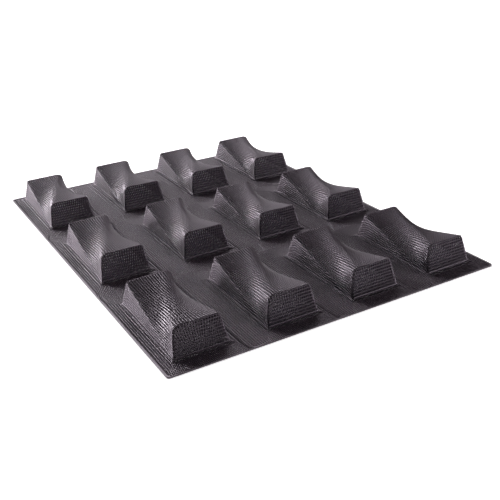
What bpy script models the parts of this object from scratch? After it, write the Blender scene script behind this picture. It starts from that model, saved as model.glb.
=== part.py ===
"""Flexible baking mould mat for twelve twisted mini baguettes.

The mat is one rectangular sheet of silicone-coated glass-fibre mesh, lying face down, so that its
moulds stand up from the flat web. It is built as four columns. Each column is a strip of web with
three moulds, and the mat flexes along the plain web between the columns.

Metres, +Z up. The origin is the centre of the sheet, on the surface that the web lies on. X runs
across the columns, and Y runs along the moulds.
"""

from itertools import product

import bmesh
import bpy
from mathutils import Vector

# Sheet
SHEET_X = 0.300
SHEET_Y = 0.400
THICKNESS = 0.001
SHEET_CORNER_RADIUS = 0.003
CORNER_SEGMENTS = 4

# Layout of the moulds: the rows stand nearer to the back edge, which leaves a wider front margin
COLUMNS = 4
ROW_NAMES = ("front", "middle", "back")
PITCH_X = 0.077
PITCH_Y = 0.140
ROWS_OFFSET_Y = 0.0045
ROOT_COLUMN = 2

# One mould: outer sizes at its foot and at the level of its ridge
BASE_X = 0.046
BASE_Y = 0.097
TOP_X = 0.038
TOP_Y = 0.084
HEIGHT = 0.024
PATCH_ACROSS = 4
PATCH_ALONG = 8

# Clearances: round each mould's foot, and along each flex line between two strips
FOOT_GAP = 0.0003
FLEX_GAP = 0.0010

WELD = 1e-6
COATING_COLOUR = (0.050, 0.046, 0.052, 1.0)


def clear_scene():
    for item in list(bpy.data.objects):
        bpy.data.objects.remove(item, do_unlink=True)


def coated_mesh(name, roughness):
    """The dark silicone coating of one kind of piece."""
    material = bpy.data.materials.new(name)
    material.use_nodes = True
    shader = material.node_tree.nodes["Principled BSDF"]
    shader.inputs["Base Color"].default_value = COATING_COLOUR
    shader.inputs["Roughness"].default_value = roughness
    shader.inputs["Metallic"].default_value = 0.0
    material.diffuse_color = COATING_COLOUR
    return material


def column_centre(column):
    return (column - (COLUMNS + 1) / 2) * PITCH_X


def row_centre(row):
    return (row - (len(ROW_NAMES) - 1) / 2) * PITCH_Y + ROWS_OFFSET_Y


def strip_edges(column):
    """The lowest and highest X of a column's web strip."""
    low = column_centre(column) - PITCH_X / 2 + FLEX_GAP / 2
    high = column_centre(column) + PITCH_X / 2 - FLEX_GAP / 2
    if column == 1:
        low = -SHEET_X / 2
    if column == COLUMNS:
        high = SHEET_X / 2
    return low, high


def between(start, end, share):
    return start.lerp(end, share)


def steps(count):
    return [i / count for i in range(count + 1)]


class Skin:
    """One face of a mould's wall: two twisted roofs that meet in a diagonal ridge, and four walls.

    The ridge runs from the near left top corner to the far right one. The left roof is level at
    the far end and stands upright at the near end, and the right roof does the opposite, so the
    shape is the same after half a turn about Z.
    """

    def __init__(self, bm, inset):
        foot_x = BASE_X / 2 - inset
        foot_y = BASE_Y / 2 - inset
        top_x = TOP_X / 2 - inset
        top_y = TOP_Y / 2 - inset
        height = HEIGHT - inset
        self.bm = bm
        self.far_left = Vector((-top_x, top_y, height))
        self.far_right = Vector((top_x, top_y, height))
        self.near_left = Vector((-top_x, -top_y, height))
        self.near_right = Vector((top_x, -top_y, height))
        self.foot_far_left = Vector((-foot_x, foot_y, 0.0))
        self.foot_far_right = Vector((foot_x, foot_y, 0.0))
        self.foot_near_left = Vector((-foot_x, -foot_y, 0.0))
        self.foot_near_right = Vector((foot_x, -foot_y, 0.0))
        self.rows = [self.row(along) for along in steps(PATCH_ALONG)]
        self.make_faces()

    def row(self, along):
        """The vertices of one line across the mould, from its left foot to its right foot."""
        left_foot = between(self.foot_far_left, self.foot_near_left, along)
        left_crease = between(self.far_left, self.foot_near_left, along)
        ridge = between(self.far_right, self.near_left, along)
        right_crease = between(self.foot_far_right, self.near_right, along)
        right_foot = between(self.foot_far_right, self.foot_near_right, along)
        places = [left_foot]
        places += [between(left_crease, ridge, across) for across in steps(PATCH_ACROSS)]
        places += [between(ridge, right_crease, across) for across in steps(PATCH_ACROSS)[1:]]
        places.append(right_foot)
        return [self.bm.verts.new(place) for place in places]

    def make_faces(self):
        for far, near in zip(self.rows, self.rows[1:]):
            for i in range(len(far) - 1):
                self.bm.faces.new((far[i], far[i + 1], near[i + 1], near[i]))
        self.bm.faces.new(self.rows[0])
        self.bm.faces.new(self.rows[-1])

    def foot_ring(self):
        """The vertices of the open foot, in order round it."""
        left = [row[0] for row in self.rows]
        right = [row[-1] for row in self.rows]
        return left + right[::-1]


def mould_mesh(material):
    """One mould as an open cup of even thickness, centred on its foot, mouth down."""
    bm = bmesh.new()
    outer = Skin(bm, 0.0).foot_ring()
    inner = Skin(bm, THICKNESS).foot_ring()
    for i in range(len(outer)):
        bm.faces.new((outer[i - 1], outer[i], inner[i], inner[i - 1]))
    bmesh.ops.remove_doubles(bm, verts=bm.verts, dist=WELD)
    bmesh.ops.triangulate(bm, faces=bm.faces)
    bmesh.ops.recalc_face_normals(bm, faces=bm.faces)
    mesh = bpy.data.meshes.new("mould")
    bm.to_mesh(mesh)
    bm.free()
    mesh.materials.append(material)
    return mesh


def opening_edges_y():
    """The Y of each long break in a strip: its ends, and both ends of every opening."""
    half = BASE_Y / 2 + FOOT_GAP
    inside = [row_centre(row) + side * half for row in range(len(ROW_NAMES)) for side in (-1, 1)]
    return [-SHEET_Y / 2, *inside, SHEET_Y / 2]


def is_opening(i, j):
    return i == 1 and j % 2 == 1


def sheet_corner_edges(bm):
    """The upright edges at the corners of the whole sheet that this strip holds."""
    found = []
    for edge in bm.edges:
        first, second = edge.verts
        upright = abs(first.co.z - second.co.z) > WELD
        at_side = abs(abs(first.co.x) - SHEET_X / 2) < WELD
        at_end = abs(abs(first.co.y) - SHEET_Y / 2) < WELD
        if upright and at_side and at_end:
            found.append(edge)
    return found


def strip_mesh(column, material):
    """A column's strip of web, with one opening for the foot of each mould."""
    low, high = strip_edges(column)
    half = BASE_X / 2 + FOOT_GAP
    centre = column_centre(column)
    edges_x = [low, centre - half, centre + half, high]
    edges_y = opening_edges_y()
    bm = bmesh.new()
    corners = {
        (i, j): bm.verts.new((edges_x[i], edges_y[j], 0.0))
        for i, j in product(range(len(edges_x)), range(len(edges_y)))
    }
    for i, j in product(range(len(edges_x) - 1), range(len(edges_y) - 1)):
        if not is_opening(i, j):
            around = ((i, j), (i + 1, j), (i + 1, j + 1), (i, j + 1))
            bm.faces.new([corners[corner] for corner in around])
    lifted = bmesh.ops.extrude_face_region(bm, geom=bm.faces[:])["geom"]
    top = [item for item in lifted if isinstance(item, bmesh.types.BMVert)]
    bmesh.ops.translate(bm, verts=top, vec=(0.0, 0.0, THICKNESS))
    bmesh.ops.bevel(
        bm,
        geom=sheet_corner_edges(bm),
        offset=SHEET_CORNER_RADIUS,
        segments=CORNER_SEGMENTS,
        profile=0.5,
        affect="EDGES",
    )
    bmesh.ops.recalc_face_normals(bm, faces=bm.faces)
    mesh = bpy.data.meshes.new(f"web_strip_{column}")
    bm.to_mesh(mesh)
    bm.free()
    mesh.materials.append(material)
    return mesh


def add_object(name, mesh, world_place, parent):
    item = bpy.data.objects.new(name, mesh)
    bpy.context.scene.collection.objects.link(item)
    item.parent = parent
    item.location = Vector(world_place) - parent.location
    return item


def flex_line_x(column):
    """The X of the line that a column flexes about: its edge on the side of the root column."""
    side = (column < ROOT_COLUMN) - (column > ROOT_COLUMN)
    return column_centre(column) + side * PITCH_X / 2


def add_column_pivot(column):
    """An empty on the column's flex line, at mid thickness. The root column's is on its centre."""
    pivot = bpy.data.objects.new(f"column_{column}", None)
    pivot.empty_display_size = PITCH_X / 4
    bpy.context.scene.collection.objects.link(pivot)
    pivot.location = (flex_line_x(column), 0.0, THICKNESS / 2)
    return pivot


def build_column(column, mould, web_material):
    pivot = add_column_pivot(column)
    add_object(f"web_strip_{column}", strip_mesh(column, web_material), (0.0, 0.0, 0.0), pivot)
    for row, name in enumerate(ROW_NAMES):
        place = (column_centre(column), row_centre(row), 0.0)
        add_object(f"mould_{name}_{column}", mould, place, pivot)


def build():
    clear_scene()
    mould = mould_mesh(coated_mesh("mould_coating", 0.45))
    web_material = coated_mesh("web_coating", 0.50)
    for column in range(1, COLUMNS + 1):
        build_column(column, mould, web_material)


build()
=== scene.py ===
"""Flexible perforated baking mat with twelve twisted baguette moulds, lying face down.

The mat is one sheet of glass-fibre mesh coated with dark silicone. The mesh is modelled cell by
cell, as threads of real thickness round open holes. Its threads run along the sheet's edges, and
they are drawn in round each mould, so the cells are wider on a mould than between two moulds.

The shape is worked out in millimetres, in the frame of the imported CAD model.
"""

import math

import bpy
import numpy as np
from mathutils import Matrix, Vector


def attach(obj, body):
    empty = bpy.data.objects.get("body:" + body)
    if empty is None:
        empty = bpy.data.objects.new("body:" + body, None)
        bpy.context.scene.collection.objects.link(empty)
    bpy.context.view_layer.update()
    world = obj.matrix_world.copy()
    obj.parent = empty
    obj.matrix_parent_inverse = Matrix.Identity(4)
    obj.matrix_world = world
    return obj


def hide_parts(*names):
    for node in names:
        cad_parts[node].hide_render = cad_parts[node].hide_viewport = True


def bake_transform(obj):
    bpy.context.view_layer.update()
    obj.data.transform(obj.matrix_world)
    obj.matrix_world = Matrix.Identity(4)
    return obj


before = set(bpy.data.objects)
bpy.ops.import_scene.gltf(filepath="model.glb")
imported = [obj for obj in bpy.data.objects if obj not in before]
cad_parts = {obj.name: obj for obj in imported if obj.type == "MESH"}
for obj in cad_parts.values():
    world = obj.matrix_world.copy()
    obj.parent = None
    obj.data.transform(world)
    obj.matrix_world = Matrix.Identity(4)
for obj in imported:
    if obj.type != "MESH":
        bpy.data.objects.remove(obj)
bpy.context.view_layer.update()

MM = 0.001

# Sheet and layout
SHEET_HALF = (150.0, 200.0)
SHEET_CORNER = 3.0
COLUMNS = 4
ROWS = ("front", "middle", "back")
PITCH = (77.0, 140.0)
ROWS_OFFSET_Y = 4.5

# One mould: half sizes at its foot and at its ridge, its rounded edges, and the lip round its foot
FOOT_HALF = (23.0, 48.5)
TOP_HALF = (19.0, 42.0)
HEIGHT = 24.0
RIDGE_ROUND = 4.5
EDGE_ROUND = 1.6
FOOT_FILLET = 1.2
LIP_HALF = (24.2, 49.7)
LIP_HEIGHT = 1.1
LIP_ROUND = 0.6

# Mesh: how many cells lie between the middle of a mould and each contour round it, how far out each
# contour is, how many cells a tile has, how many from the middle belong to the mould and to the
# columns' own web, how near the sheet's outline (mm) a point is snapped to it, and how many steps
# find the surface
CONTOUR_LEVELS = (0.0, 1.0, 2.0, 3.0)
CELLS_ACROSS = (0, 9, 19, 27)
CELLS_ALONG = (0, 20, 31, 42)
REACH_X = (0.0, 18.5, 23.0, PITCH[0] / 2)
REACH_Y = (0.0, 41.5, 48.5, PITCH[1] / 2)
TILE_CELLS = (54, 84)
MOULD_CELLS = (20, 32)
FLEX_CELL = 22
SNAP = 0.35
SURFACE_STEPS = 7

# Threads: the sheet's thickness at a crossing; the thickness of a thread between two crossings,
# across the moulds and along them; a thread's width between two holes; how round a hole's corners
# are; how far its rim lies below the middle of the sheet, on a mould and off it; and the least and
# greatest share of a cell that a hole takes up each way
THICKNESS = 1.0
ACROSS_THICKNESS = 0.8
ALONG_THICKNESS = 0.4
THREAD_WIDTH = 1.3
HOLE_CORNER = 0.80
HOLE_DEPTH = 0.5
WEB_HOLE_DEPTH = 0.1
OPEN_SHARE = (0.25, 0.65)

# Flex lines between the columns, each as its place across the sheet and the numbers of the two
# columns beside it
FLEX_LINES = ((-77.0, 2, 1), (0.0, 2, 3), (77.0, 3, 4))

# Studio: the strength of the even white surroundings and of the floor's glow, the floor's level and
# half width, the camera, and the soft lights' tint, distance (m) and list. Each light has its azimuth
# from +X towards +Y and its elevation (degrees), its size (m) and its power (W)
WORLD_STRENGTH = 0.04
FLOOR_GLOW = 0.6
FLOOR_LEVEL = -0.4
FLOOR_REACH = 30000.0
CAMERA_PLACE = (-0.30757, -0.60230, 0.29287)
CAMERA_ANGLES = (-29.183, 25.081, -2.46)
CAMERA_LENS = 55.29
LIGHT_TINT = (1.0, 0.95, 0.99)
LIGHT_DISTANCE = 2.5
SOFT_LIGHTS = {
    "back_left_low": (115.0, 13.0, 0.8, 82.0),
    "back_left_grazing": (125.0, 4.0, 1.0, 25.0),
    "left_grazing": (162.0, 5.0, 0.8, 88.0),
    "back_high": (80.0, 40.0, 1.2, 32.0),
    "back_right_low": (50.0, 16.0, 1.2, 12.0),
    "front_right": (-45.0, 25.0, 1.2, 54.0),
}

# A cell's outline, counter-clockwise from above, in half cells from its low corner
OUTLINE = np.array([(0, 0), (1, 0), (2, 0), (2, 1), (2, 2), (1, 2), (0, 2), (0, 1)])


def column_centre(column):
    return (column - (COLUMNS - 1) / 2) * PITCH[0]


def row_centre(row):
    return (row - (len(ROWS) - 1) / 2) * PITCH[1] + ROWS_OFFSET_Y


# ---------------------------------------------------------------- shape of one mould


def left_roof(x, y):
    """Height of the roof that is level at the far end and upright at the near left corner."""
    y = np.clip(y, -FOOT_HALF[1], FOOT_HALF[1])
    share = (y + FOOT_HALF[1]) / (TOP_HALF[1] + FOOT_HALF[1])
    crease_z = HEIGHT * share
    crease_x = -FOOT_HALF[0] + (FOOT_HALF[0] - TOP_HALF[0]) * share
    ridge_x = TOP_HALF[0] * y / TOP_HALF[1]
    return HEIGHT - (HEIGHT - crease_z) * (ridge_x - x) / (ridge_x - crease_x)


def right_roof(x, y):
    return left_roof(-x, -y)


def roof_distance(roof, x, y, z):
    step = 0.01
    slope_x = (roof(x + step, y) - roof(x - step, y)) / (2 * step)
    slope_y = (roof(x, y + step) - roof(x, y - step)) / (2 * step)
    return (z - roof(x, y)) / np.sqrt(1 + slope_x**2 + slope_y**2)


def wall_distance(along, foot, top, z):
    """Distance outside the leaning wall that stands at foot and is at top, level with the ridge."""
    run = foot - top
    length = math.hypot(run, HEIGHT)
    return ((along - foot) * HEIGHT + z * run) / length


def rounded_common(distances, radius):
    stacked = np.stack(distances)
    outside = np.sqrt((np.maximum(stacked + radius, 0.0) ** 2).sum(axis=0))
    return outside + np.minimum(-radius, stacked.max(axis=0))


def filleted_union(first, second, radius):
    inside = np.sqrt(np.maximum(radius - first, 0.0) ** 2 + np.maximum(radius - second, 0.0) ** 2)
    return np.maximum(radius, np.minimum(first, second)) - inside


def skin_distance(x, y, z):
    """Distance outside the upper skin of the sheet, for a tile centred on its mould."""
    top = rounded_common(
        [roof_distance(left_roof, x, y, z), roof_distance(right_roof, x, y, z)], RIDGE_ROUND
    )
    walls = [wall_distance(side * x, FOOT_HALF[0], TOP_HALF[0], z) for side in (-1, 1)]
    walls += [wall_distance(side * y, FOOT_HALF[1], TOP_HALF[1], z) for side in (-1, 1)]
    body = rounded_common([top, *walls], EDGE_ROUND)
    lip_sides = [np.abs(x) - LIP_HALF[0], np.abs(y) - LIP_HALF[1], z - THICKNESS - LIP_HEIGHT]
    lip = rounded_common(lip_sides, LIP_ROUND)
    foot = filleted_union(lip, z - THICKNESS, LIP_ROUND)
    return filleted_union(body, foot, FOOT_FILLET)


def skin_gradient(x, y, z):
    step = 0.02
    found = [
        skin_distance(x + step, y, z) - skin_distance(x - step, y, z),
        skin_distance(x, y + step, z) - skin_distance(x, y - step, z),
        skin_distance(x, y, z + step) - skin_distance(x, y, z - step),
    ]
    return np.stack(found, axis=-1) / (2 * step)


def sharp_height(x, y):
    """Height of the mould and its lip before their edges are rounded, and never below the web."""
    lean_x = HEIGHT / (FOOT_HALF[0] - TOP_HALF[0])
    lean_y = HEIGHT / (FOOT_HALF[1] - TOP_HALF[1])
    heights = [
        left_roof(x, y),
        right_roof(x, y),
        (FOOT_HALF[0] - np.abs(x)) * lean_x,
        (FOOT_HALF[1] - np.abs(y)) * lean_y,
    ]
    on_lip = (np.abs(x) < LIP_HALF[0]) & (np.abs(y) < LIP_HALF[1])
    return np.maximum(np.min(heights, axis=0), THICKNESS + LIP_HEIGHT * on_lip)


def drawn_place(u, v):
    """Where the mesh's own coordinates, in cells from the middle of a mould, lie on the tile."""
    level = np.maximum(
        np.interp(np.abs(u), CELLS_ACROSS, CONTOUR_LEVELS),
        np.interp(np.abs(v), CELLS_ALONG, CONTOUR_LEVELS),
    )
    scale_x = np.interp(level, CONTOUR_LEVELS, REACH_X) / np.maximum(
        np.interp(level, CONTOUR_LEVELS, CELLS_ACROSS), 1e-9
    )
    scale_y = np.interp(level, CONTOUR_LEVELS, REACH_Y) / np.maximum(
        np.interp(level, CONTOUR_LEVELS, CELLS_ALONG), 1e-9
    )
    return u * scale_x, v * scale_y


def on_skin(u, v):
    """Points in the middle of the sheet's thickness, and the sheet's normals there."""
    x, y = drawn_place(u, v)
    place = np.stack([x, y, sharp_height(x, y)], axis=-1)
    for _ in range(SURFACE_STEPS):
        slope = skin_gradient(place[..., 0], place[..., 1], place[..., 2])
        off = skin_distance(place[..., 0], place[..., 1], place[..., 2]) + THICKNESS / 2
        place = place - slope * (off / (slope**2).sum(axis=-1))[..., None]
    slope = skin_gradient(place[..., 0], place[..., 1], place[..., 2])
    return place, slope / np.linalg.norm(slope, axis=-1, keepdims=True)


class EvenThreads:
    """Spaces the threads evenly over a mould, measured along the surface from foot to foot."""

    def __init__(self):
        self.reach = CELLS_ACROSS[2]
        self.u = np.linspace(-self.reach, self.reach, 257)
        self.v = np.linspace(-TILE_CELLS[1] / 2, TILE_CELLS[1] / 2, 2 * TILE_CELLS[1] + 1)
        place = on_skin(*np.meshgrid(self.u, self.v, indexing="ij"))[0]
        length = np.linalg.norm(np.diff(place, axis=0), axis=-1)
        run = np.concatenate([np.zeros((1, len(self.v))), np.cumsum(length, axis=0)])
        even = np.linspace(0.0, 1.0, len(self.u))
        columns = [np.interp(even * r[-1], r, self.u) for r in run.T]
        self.warped = np.stack(columns, axis=-1)

    def __call__(self, u, v):
        at_u = (np.clip(u, -self.reach, self.reach) + self.reach) / (2 * self.reach)
        at_u = at_u * (len(self.u) - 1)
        at_v = (v - self.v[0]) / (self.v[-1] - self.v[0]) * (len(self.v) - 1)
        low_u = np.clip(np.floor(at_u).astype(int), 0, len(self.u) - 2)
        low_v = np.clip(np.floor(at_v).astype(int), 0, len(self.v) - 2)
        share_u, share_v = at_u - low_u, at_v - low_v
        low = self.warped[low_u, low_v] * (1 - share_u) + self.warped[low_u + 1, low_v] * share_u
        high = self.warped[low_u, low_v + 1] * (1 - share_u)
        high = high + self.warped[low_u + 1, low_v + 1] * share_u
        return np.where(np.abs(u) < self.reach, low * (1 - share_v) + high * share_v, u)


# ---------------------------------------------------------------- the whole sheet


def tile_places(spacing):
    """The corners and edge middles of one tile's cells, every half cell."""
    half_cells = [np.arange(2 * count + 1) / 2 - count / 2 for count in TILE_CELLS]
    u, v = np.meshgrid(*half_cells, indexing="ij")
    return on_skin(spacing(u, v), v)


def tile_rims(spacing, places):
    """The rim of the hole in each of one tile's cells, as eight points."""
    low = [np.arange(count) - count / 2 for count in TILE_CELLS]
    corner_u, corner_v = np.meshgrid(*low, indexing="ij")
    size_u = np.linalg.norm(places[2::2, 1::2] - places[:-2:2, 1::2], axis=-1)
    size_v = np.linalg.norm(places[1::2, 2::2] - places[1::2, :-2:2], axis=-1)
    open_share = [np.clip(1 - THREAD_WIDTH / size, *OPEN_SHARE) for size in (size_u, size_v)]
    away = OUTLINE - 1.0
    diagonal = (np.abs(away).sum(axis=1) == 2)[:, None]
    away = away * np.where(diagonal, HOLE_CORNER, 1.0) / 2
    u = corner_u[..., None] + 0.5 + away[:, 0] * open_share[0][..., None]
    v = corner_v[..., None] + 0.5 + away[:, 1] * open_share[1][..., None]
    place, normal = on_skin(spacing(u, v), v)
    off_mould = (np.abs(u) > CELLS_ACROSS[2]) | (np.abs(v) > CELLS_ALONG[2])
    return place - normal * np.where(off_mould, WEB_HOLE_DEPTH, HOLE_DEPTH)[..., None]


def to_sheet_outline(x, y):
    """Points beyond the sheet, or nearly there, moved to its outline, and which ones they are."""
    moved = (np.abs(x) > SHEET_HALF[0] - SNAP) | (np.abs(y) > SHEET_HALF[1] - SNAP)
    x = np.where(np.abs(x) > SHEET_HALF[0] - SNAP, np.sign(x) * SHEET_HALF[0], x)
    y = np.where(np.abs(y) > SHEET_HALF[1] - SNAP, np.sign(y) * SHEET_HALF[1], y)
    over_x = np.abs(x) - (SHEET_HALF[0] - SHEET_CORNER)
    over_y = np.abs(y) - (SHEET_HALF[1] - SHEET_CORNER)
    length = np.hypot(over_x, over_y)
    cut = (over_x > 0) & (over_y > 0) & (length > SHEET_CORNER)
    back = np.where(cut, SHEET_CORNER / np.maximum(length, 1e-9), 1.0)
    x = np.where(cut, np.sign(x) * (SHEET_HALF[0] - SHEET_CORNER + over_x * back), x)
    y = np.where(cut, np.sign(y) * (SHEET_HALF[1] - SHEET_CORNER + over_y * back), y)
    return x, y, moved | cut


class Sheet:
    """The mesh of the whole sheet, as points every half cell and a hole in most cells."""

    def __init__(self):
        self.cells = (COLUMNS * TILE_CELLS[0], len(ROWS) * TILE_CELLS[1])
        spacing = EvenThreads()
        self.tile, self.tile_normals = tile_places(spacing)
        self.rims = tile_rims(spacing, self.tile)
        half_x, half_y = np.meshgrid(
            *[np.arange(2 * count + 1) for count in self.cells], indexing="ij"
        )
        column = np.minimum(half_x // (2 * TILE_CELLS[0]), COLUMNS - 1)
        row = np.minimum(half_y // (2 * TILE_CELLS[1]), len(ROWS) - 1)
        in_tile = half_x - column * 2 * TILE_CELLS[0], half_y - row * 2 * TILE_CELLS[1]
        self.places = self.tile[in_tile].copy()
        self.normals = self.tile_normals[in_tile].copy()
        self.places[..., 0] += column_centre(column)
        self.places[..., 1] += row_centre(row)
        self.cut_to_outline()

    def cut_to_outline(self):
        corners = self.places[::2, ::2]
        x, y, cut = to_sheet_outline(corners[..., 0], corners[..., 1])
        corners[..., 0], corners[..., 1] = x, y
        cut_x = cut[1:] | cut[:-1]
        cut_y = cut[:, 1:] | cut[:, :-1]
        middle_x = (corners[1:] + corners[:-1]) / 2
        middle_y = (corners[:, 1:] + corners[:, :-1]) / 2
        centre = (middle_x[:, 1:] + middle_x[:, :-1]) / 2
        by_cell = np.stack([cut[:-1, :-1], cut[1:, :-1], cut[1:, 1:], cut[:-1, 1:]])
        self.gone = by_cell.all(axis=0)
        self.plain = by_cell.any(axis=0)
        for target, made, where in (
            (self.places[1::2, ::2], middle_x, cut_x),
            (self.places[::2, 1::2], middle_y, cut_y),
            (self.places[1::2, 1::2], centre, self.plain),
        ):
            target[where] = made[where]

    def piece(self, name, chosen, origin=(0.0, 0.0)):
        """A closed mesh of the chosen cells, with its vertices measured from origin."""
        chosen = chosen & ~self.gone
        low = np.argwhere(chosen)
        holed = ~self.plain[chosen]
        outline = 2 * low[:, None, :] + OUTLINE
        width = self.places.shape[1]
        keys = outline[..., 0] * width + outline[..., 1]
        middles = (2 * low[~holed] + 1) @ np.array([width, 1])
        used, index = np.unique(np.concatenate([keys.ravel(), middles]), return_inverse=True)
        around = index[: keys.size].reshape(keys.shape)
        centre = index[keys.size :]
        place = self.places.reshape(-1, 3)[used]
        normal = self.normals.reshape(-1, 3)[used]
        half = np.full((len(used), 1), THICKNESS / 2)
        half[used // width % 2 == 1] = ALONG_THICKNESS / 2
        half[used % width % 2 == 1] = ACROSS_THICKNESS / 2
        on_plain = np.zeros(len(used), bool)
        on_plain[around[~holed].ravel()] = True
        on_plain[centre] = True
        half = np.where(on_plain[:, None], THICKNESS / 2, half)
        count = len(used)
        tile_cell = low[holed] % np.array(TILE_CELLS)
        tile_index = low[holed] // np.array(TILE_CELLS)
        rim = self.rims[tile_cell[:, 0], tile_cell[:, 1]].copy()
        rim[..., 0] += column_centre(tile_index[:, 0])[:, None]
        rim[..., 1] += row_centre(tile_index[:, 1])[:, None]
        vertices = np.concatenate([place + normal * half, place - normal * half, rim.reshape(-1, 3)])
        vertices[:, 0] -= origin[0]
        vertices[:, 1] -= origin[1]

        rim_index = 2 * count + np.arange(len(rim) * 8).reshape(-1, 8)
        outer, following = around[holed], np.roll(around[holed], -1, axis=1)
        rim_next = np.roll(rim_index, -1, axis=1)
        faces = [
            np.stack([outer, following, rim_next, rim_index], axis=-1),
            np.stack([rim_index, rim_next, following + count, outer + count], axis=-1),
        ]
        corner, before, after = (np.roll(around[~holed], k, axis=1)[:, ::2] for k in (0, 1, -1))
        middle = np.repeat(centre[:, None], 4, axis=1)
        faces += [
            np.stack([corner, after, middle, before], axis=-1),
            np.stack([before, middle, after, corner], axis=-1) + count,
        ]
        beyond = np.pad(chosen, 1)
        steps_out = ((0, -1), (1, 0), (0, 1), (-1, 0))
        edges = []
        for side, (dx, dy) in enumerate(steps_out):
            ends = ~beyond[low[:, 0] + 1 + dx, low[:, 1] + 1 + dy]
            for k in (2 * side, 2 * side + 1):
                first, second = around[ends, k], around[ends, (k + 1) % 8]
                faces.append(np.stack([first + count, second + count, second, first], axis=-1))
                edges += [np.stack([first, second], -1), np.stack([first, second], -1) + count]
        faces = np.concatenate([face.reshape(-1, 4) for face in faces])
        return mesh_of(name, vertices * MM, faces, np.concatenate(edges))


def mesh_of(name, vertices, faces, sharp):
    """A smooth mesh of quads, with the given edges sharp."""
    mesh = bpy.data.meshes.new(name)
    mesh.vertices.add(len(vertices))
    mesh.vertices.foreach_set("co", vertices.astype(np.float32).ravel())
    mesh.loops.add(faces.size)
    mesh.loops.foreach_set("vertex_index", faces.astype(np.int32).ravel())
    mesh.polygons.add(len(faces))
    mesh.polygons.foreach_set("loop_start", np.arange(0, faces.size, 4, dtype=np.int32))
    mesh.update(calc_edges=True)
    ends = np.empty(2 * len(mesh.edges), np.int32)
    mesh.edges.foreach_get("vertices", ends)
    ends = np.sort(ends.reshape(-1, 2), axis=1).astype(np.int64)
    wanted = np.sort(sharp, axis=1).astype(np.int64)
    count = len(vertices)
    is_sharp = np.isin(ends @ [count, 1], wanted @ [count, 1])
    attribute = mesh.attributes.new("sharp_edge", "BOOLEAN", "EDGE")
    attribute.data.foreach_set("value", is_sharp)
    return mesh


# ---------------------------------------------------------------- materials


def silicone(name, tone, roughness):
    """Dark satin silicone over woven threads, with small changes of tone and gloss."""
    material = bpy.data.materials.new(name)
    material.use_nodes = True
    nodes, links = material.node_tree.nodes, material.node_tree.links
    shader = nodes["Principled BSDF"]
    place = nodes.new("ShaderNodeTexCoord")

    broad = nodes.new("ShaderNodeTexNoise")
    broad.inputs["Scale"].default_value = 24.0
    broad.inputs["Detail"].default_value = 3.0
    links.new(place.outputs["Object"], broad.inputs["Vector"])
    fine = nodes.new("ShaderNodeTexNoise")
    fine.inputs["Scale"].default_value = 900.0
    fine.inputs["Detail"].default_value = 4.0
    links.new(place.outputs["Object"], fine.inputs["Vector"])

    both = nodes.new("ShaderNodeMath")
    both.operation = "MULTIPLY_ADD"
    both.inputs[1].default_value = 0.35
    links.new(fine.outputs["Fac"], both.inputs[0])
    links.new(broad.outputs["Fac"], both.inputs[2])
    colours = nodes.new("ShaderNodeValToRGB")
    colours.color_ramp.elements[0].position = 0.45
    colours.color_ramp.elements[0].color = (*[0.80 * c for c in tone], 1.0)
    colours.color_ramp.elements[1].position = 0.85
    colours.color_ramp.elements[1].color = (*[1.25 * c for c in tone], 1.0)
    links.new(both.outputs[0], colours.inputs[0])
    links.new(colours.outputs[0], shader.inputs["Base Color"])

    gloss = nodes.new("ShaderNodeMapRange")
    gloss.inputs["From Min"].default_value = 0.3
    gloss.inputs["From Max"].default_value = 0.7
    gloss.inputs["To Min"].default_value = roughness - 0.05
    gloss.inputs["To Max"].default_value = roughness + 0.07
    links.new(fine.outputs["Fac"], gloss.inputs["Value"])
    links.new(gloss.outputs[0], shader.inputs["Roughness"])

    bump = nodes.new("ShaderNodeBump")
    bump.inputs["Strength"].default_value = 0.25
    bump.inputs["Distance"].default_value = 0.0002
    links.new(fine.outputs["Fac"], bump.inputs["Height"])
    links.new(bump.outputs[0], shader.inputs["Normal"])
    shader.inputs["IOR"].default_value = 1.5
    shader.inputs["Specular Tint"].default_value = (0.97, 0.87, 1.0, 1.0)
    return material


def floor_paint(name, glow):
    """White paper, lit from below where it glows."""
    material = bpy.data.materials.new(name)
    material.use_nodes = True
    nodes, links = material.node_tree.nodes, material.node_tree.links
    shader = nodes["Principled BSDF"]
    place = nodes.new("ShaderNodeTexCoord")
    noise = nodes.new("ShaderNodeTexNoise")
    noise.inputs["Scale"].default_value = 3.0
    links.new(place.outputs["Object"], noise.inputs["Vector"])
    colours = nodes.new("ShaderNodeValToRGB")
    colours.color_ramp.elements[0].color = (0.93, 0.93, 0.93, 1.0)
    colours.color_ramp.elements[1].color = (0.95, 0.95, 0.95, 1.0)
    links.new(noise.outputs["Fac"], colours.inputs[0])
    links.new(colours.outputs[0], shader.inputs["Base Color"])
    shader.inputs["Roughness"].default_value = 0.9
    shader.inputs["Emission Color"].default_value = (1.0, 1.0, 1.0, 1.0)
    shader.inputs["Emission Strength"].default_value = glow
    return material


# ---------------------------------------------------------------- pieces


def add_piece(name, mesh, place=(0.0, 0.0, 0.0)):
    item = bpy.data.objects.new(name, mesh)
    item.location = place
    bpy.context.scene.collection.objects.link(item)
    return item


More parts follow.
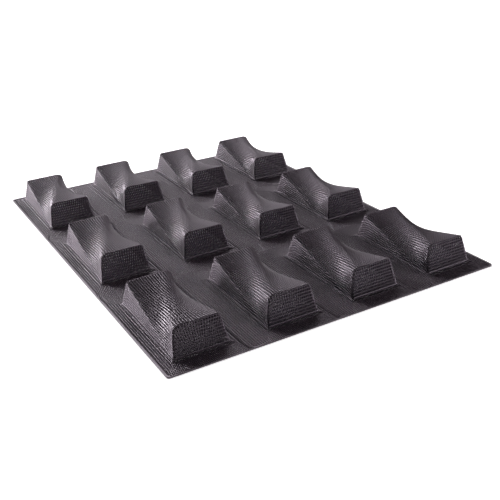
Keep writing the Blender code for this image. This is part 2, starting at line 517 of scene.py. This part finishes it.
def build_mat():
    sheet = Sheet()
    # The web's copy of the silicone is darker than the moulds' copy: painted shade for the web lying
    # low between the moulds, on a sheet that is one silicone throughout
    shaded_web_paint = silicone("web_silicone_painted_shade", (0.022, 0.016, 0.020), 0.37)
    mould_paint = silicone("mould_silicone", (0.030, 0.024, 0.029), 0.32)
    cell_x, cell_y = np.meshgrid(*[np.arange(count) for count in sheet.cells], indexing="ij")
    column, row = cell_x // TILE_CELLS[0], cell_y // TILE_CELLS[1]
    from_x = np.abs(cell_x % TILE_CELLS[0] + 0.5 - TILE_CELLS[0] / 2)
    from_y = np.abs(cell_y % TILE_CELLS[1] + 0.5 - TILE_CELLS[1] / 2)
    in_mould = (from_x < MOULD_CELLS[0]) & (from_y < MOULD_CELLS[1])
    line = np.full(column.shape, -1)
    for k in range(COLUMNS - 1):
        edge = (k + 1) * TILE_CELLS[0]
        near = np.abs(cell_x + 0.5 - edge) < TILE_CELLS[0] / 2 - FLEX_CELL
        line[near] = k

    first = in_mould & (column == 0) & (row == 0)
    mould = sheet.piece("mould", first, (column_centre(0), row_centre(0)))
    mould.materials.append(mould_paint)
    for c in range(COLUMNS):
        body = f"column_{c + 1}"
        for r, row_name in enumerate(ROWS):
            place = Vector((column_centre(c), row_centre(r), 0.0)) * MM
            item = add_piece(f"mesh_mould_{row_name}_{c + 1}", mould, place)
            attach(item, body)
            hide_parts(f"mould_{row_name}_{c + 1}")
        web = sheet.piece(f"web_{c + 1}", ~in_mould & (line < 0) & (column == c))
        web.materials.append(shaded_web_paint)
        item = add_piece(f"mesh_web_{c + 1}", web)
        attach(item, body)
        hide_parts(f"web_strip_{c + 1}")
    for k, (x, fixed, moving) in enumerate(FLEX_LINES):
        flex = sheet.piece(f"flex_{k + 1}", line == k)
        flex.materials.append(shaded_web_paint)
        item = add_piece(f"mesh_flex_{k + 1}{k + 2}", flex)
        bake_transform(item)


# ---------------------------------------------------------------- studio


def add_camera():
    azimuth, elevation, roll = (math.radians(a) for a in CAMERA_ANGLES)
    ahead = Vector(
        (
            -math.sin(azimuth) * math.cos(elevation),
            math.cos(azimuth) * math.cos(elevation),
            -math.sin(elevation),
        )
    )
    level_right = ahead.cross(Vector((0.0, 0.0, 1.0))).normalized()
    level_up = level_right.cross(ahead)
    right = math.cos(roll) * level_right + math.sin(roll) * level_up
    up = right.cross(ahead)
    data = bpy.data.cameras.new("camera")
    data.sensor_width = 36.0
    data.lens = CAMERA_LENS
    data.clip_start = 0.01
    data.clip_end = 50.0
    camera = bpy.data.objects.new("camera", data)
    camera.matrix_world = Matrix.Translation(CAMERA_PLACE) @ Matrix(
        (right, up, -ahead)
    ).transposed().to_4x4()
    bpy.context.scene.collection.objects.link(camera)
    bpy.context.scene.camera = camera


def add_soft_light(name, azimuth, elevation, size, watts):
    """A square soft light that faces the middle of the mat."""
    data = bpy.data.lights.new(name, "AREA")
    data.size = size
    data.energy = watts
    data.color = LIGHT_TINT
    turn, rise = math.radians(azimuth), math.radians(elevation)
    away = Vector(
        (math.cos(turn) * math.cos(rise), math.sin(turn) * math.cos(rise), math.sin(rise))
    )
    light = bpy.data.objects.new(name, data)
    light.location = LIGHT_DISTANCE * away
    light.rotation_mode = "QUATERNION"
    light.rotation_quaternion = (-away).to_track_quat("-Z", "Y")
    bpy.context.scene.collection.objects.link(light)


def add_floor(name, rectangles, unit, paint):
    """Level rectangles just under the mat, each as its low and high corner in steps of unit."""
    mesh = bpy.data.meshes.new(name)
    corners, faces = [], []
    for low_x, low_y, high_x, high_y in rectangles:
        count = len(corners)
        for x, y in ((low_x, low_y), (high_x, low_y), (high_x, high_y), (low_x, high_y)):
            corners.append((x * unit[0] * MM, y * unit[1] * MM, FLOOR_LEVEL * MM))
        faces.append(tuple(range(count, count + 4)))
    mesh.from_pydata(corners, [], faces)
    mesh.materials.append(paint)
    item = bpy.data.objects.new(name, mesh)
    bpy.context.scene.collection.objects.link(item)


def add_studio():
    add_floor("studio_floor", [(-1, -1, 1, 1)], SHEET_HALF, floor_paint("white_paper", 0.0))
    reach_x, reach_y = (FLOOR_REACH / half for half in SHEET_HALF)
    around = [
        (-reach_x, -reach_y, reach_x, -1),
        (-reach_x, 1, reach_x, reach_y),
        (-reach_x, -1, -1, 1),
        (1, -1, reach_x, 1),
    ]
    add_floor("light_table", around, SHEET_HALF, floor_paint("lit_paper", FLOOR_GLOW))

    world = bpy.data.worlds.new("studio")
    world.use_nodes = True
    background = world.node_tree.nodes["Background"]
    background.inputs["Color"].default_value = (1.0, 1.0, 1.0, 1.0)
    background.inputs["Strength"].default_value = WORLD_STRENGTH
    bpy.context.scene.world = world

    for name, (azimuth, elevation, size, watts) in SOFT_LIGHTS.items():
        add_soft_light(name, azimuth, elevation, size, watts)
    bpy.context.scene.view_settings.view_transform = "Standard"


build_mat()
add_camera()
add_studio()
